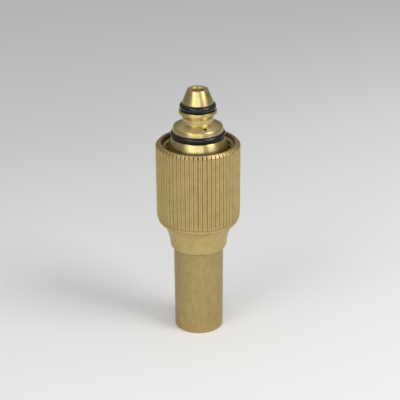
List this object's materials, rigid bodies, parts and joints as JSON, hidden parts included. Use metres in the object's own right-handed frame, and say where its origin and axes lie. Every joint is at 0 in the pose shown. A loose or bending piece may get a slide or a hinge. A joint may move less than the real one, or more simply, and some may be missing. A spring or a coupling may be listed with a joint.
{
  "type": "oil burner nozzle",
  "caption": "Plug-in burner nozzle: sealed spigot with a captive knurled union nut, over a plain barrel holding the oil tube, jet, swirler and air cap.",
  "frame": {"origin": "centre of the outlet face of the barrel, which is the face the nozzle stands on", "axes": "+Z along the axis of the nozzle, from the outlet face up to the tip of the spigot"},
  "size_m": [0.0226, 0.0226, 0.0693],
  "materials": {
    "turned_brass": "bright turned",
    "tumbled_brass": "matte tumbled",
    "nitrile": "satin black nitrile",
    "copper": "annealed copper",
    "steel": "fine turned stainless",
    "sintered_bronze": "porous sintered bronze"
  },
  "bodies": {
    "nozzle_body": {"spigot_head": "turned_brass", "nose_seal_ring": "nitrile", "shoulder_seal_ring": "nitrile", "inlet_strainer": "sintered_bronze", "oil_tube": "turned_brass", "oil_tube_seal": "nitrile", "oil_tube_gland": "turned_brass", "centring_spider": "turned_brass", "barrel": "tumbled_brass", "barrel_gasket": "copper", "oil_jet": "turned_brass", "orifice_disc": "steel", "oil_distributor": "steel", "distributor_screw": "turned_brass", "jet_gasket": "copper", "air_swirler": "turned_brass", "air_cap": "turned_brass", "air_cap_seal": "copper", "cap_lock_ring": "turned_brass"},
    "washer": {"slip_washer": "steel"},
    "nut": {"union_nut": "tumbled_brass"}
  },
  "joints": [
    {"name": "nut_slide", "type": "slide", "parent": "nozzle_body", "child": "washer", "axis": [0, 0, 1], "range_m": [0, 0.0055]},
    {"name": "nut_spin", "type": "hinge", "parent": "washer", "child": "nut", "pos_m": [0, 0, 0.0363], "axis": [0, 0, 1], "continuous": true}
  ]
}
